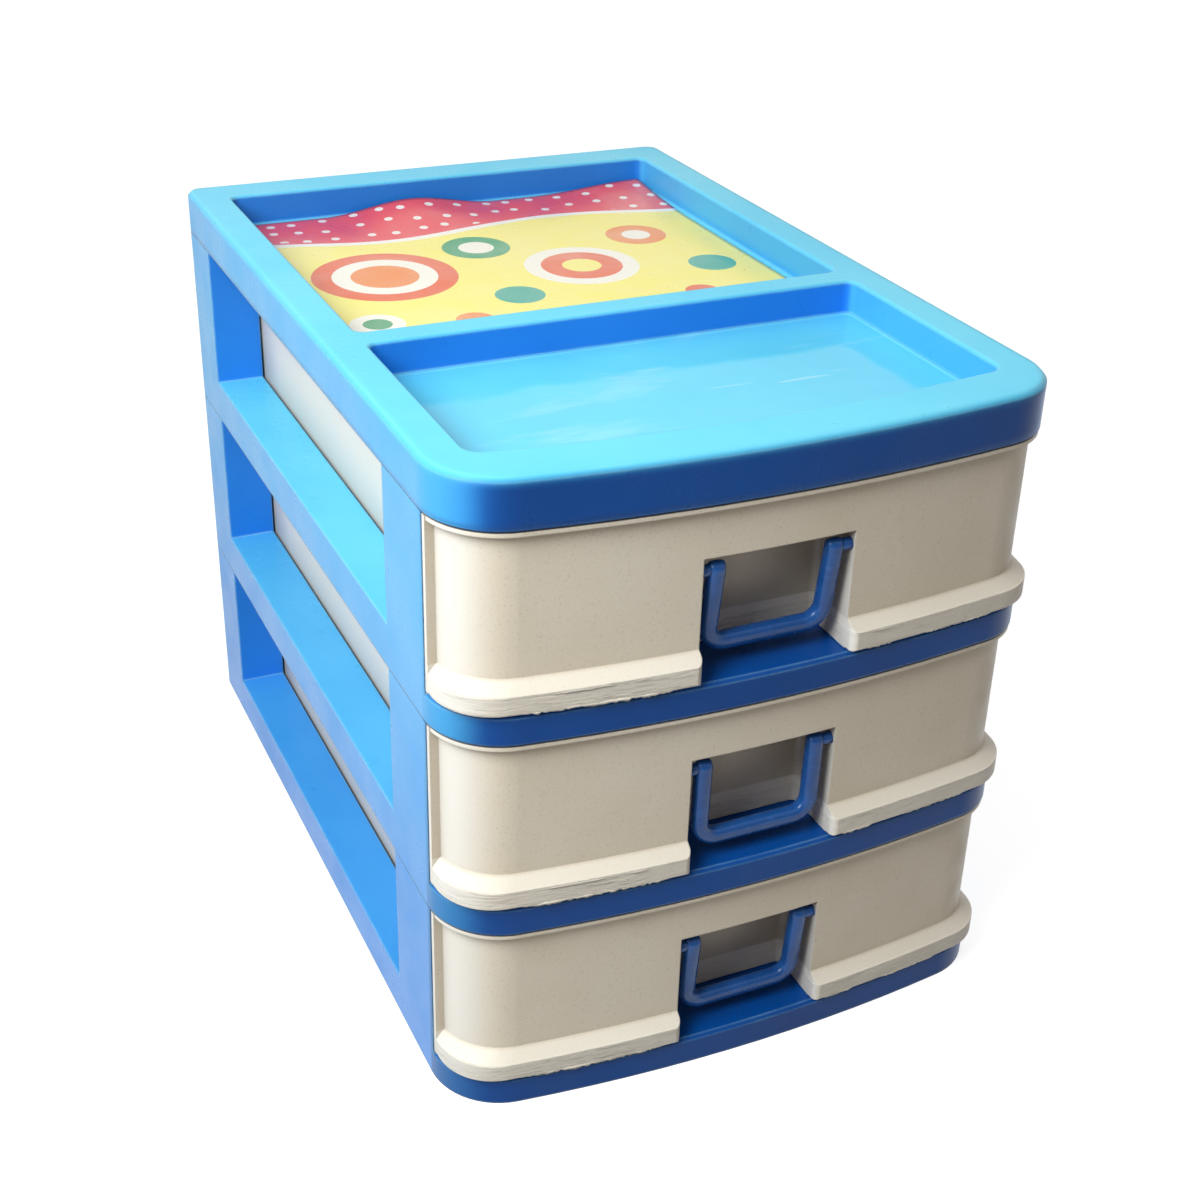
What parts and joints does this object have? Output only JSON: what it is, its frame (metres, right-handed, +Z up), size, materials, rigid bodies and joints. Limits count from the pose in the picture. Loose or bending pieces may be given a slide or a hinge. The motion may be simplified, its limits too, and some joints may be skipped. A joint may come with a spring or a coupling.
{
  "type": "craft storage box",
  "caption": "Desktop drawer box for craft supplies: stacked open-sided plastic modules, each with a pull-out drawer and a swinging bail handle, under a cover with two shallow trays.",
  "frame": {"origin": "middle of the footprint, from the rear face to the drawers' lips, on the surface that the box stands on", "axes": "+Z up, -Y towards the front where the drawers open, +X to the right as seen from the front"},
  "size_m": [0.18, 0.2667, 0.1964],
  "materials": {
    "frame_plastic": "semi-gloss moulded polystyrene, bright azure blue",
    "drawer_plastic": "satin moulded polystyrene, warm beige",
    "handle_plastic": "gloss moulded plastic, medium blue",
    "printed_card": "printed thin card"
  },
  "bodies": {
    "cabinet": {"top_cover": "frame_plastic", "label_card": "printed_card", "module_bottom": "frame_plastic", "module_middle": "frame_plastic", "module_top": "frame_plastic"},
    "drawer_bottom": {"drawer_bottom": "drawer_plastic"},
    "handle_bottom": {"handle_bottom": "handle_plastic"},
    "drawer_middle": {"drawer_middle": "drawer_plastic"},
    "handle_middle": {"handle_middle": "handle_plastic"},
    "drawer_top": {"drawer_top": "drawer_plastic"},
    "handle_top": {"handle_top": "handle_plastic"}
  },
  "joints": [
    {"name": "drawer_bottom_slide", "type": "slide", "parent": "cabinet", "child": "drawer_bottom", "axis": [0, -1, 0], "range_m": [0, 0.1937]},
    {"name": "handle_bottom_swing", "type": "hinge", "parent": "drawer_bottom", "child": "handle_bottom", "pos_m": [0, -0.12708, 0.04], "axis": [-1, 0, 0], "range_deg": [-14, 101]},
    {"name": "drawer_middle_slide", "type": "slide", "parent": "cabinet", "child": "drawer_middle", "axis": [0, -1, 0], "range_m": [0, 0.1937]},
    {"name": "handle_middle_swing", "type": "hinge", "parent": "drawer_middle", "child": "handle_middle", "pos_m": [0, -0.12708, 0.1008], "axis": [-1, 0, 0], "range_deg": [-18.5, 96.5]},
    {"name": "drawer_top_slide", "type": "slide", "parent": "cabinet", "child": "drawer_top", "axis": [0, -1, 0], "range_m": [0, 0.1937]},
    {"name": "handle_top_swing", "type": "hinge", "parent": "drawer_top", "child": "handle_top", "pos_m": [0, -0.12708, 0.1616], "axis": [-1, 0, 0], "range_deg": [-12, 103]}
  ]
}
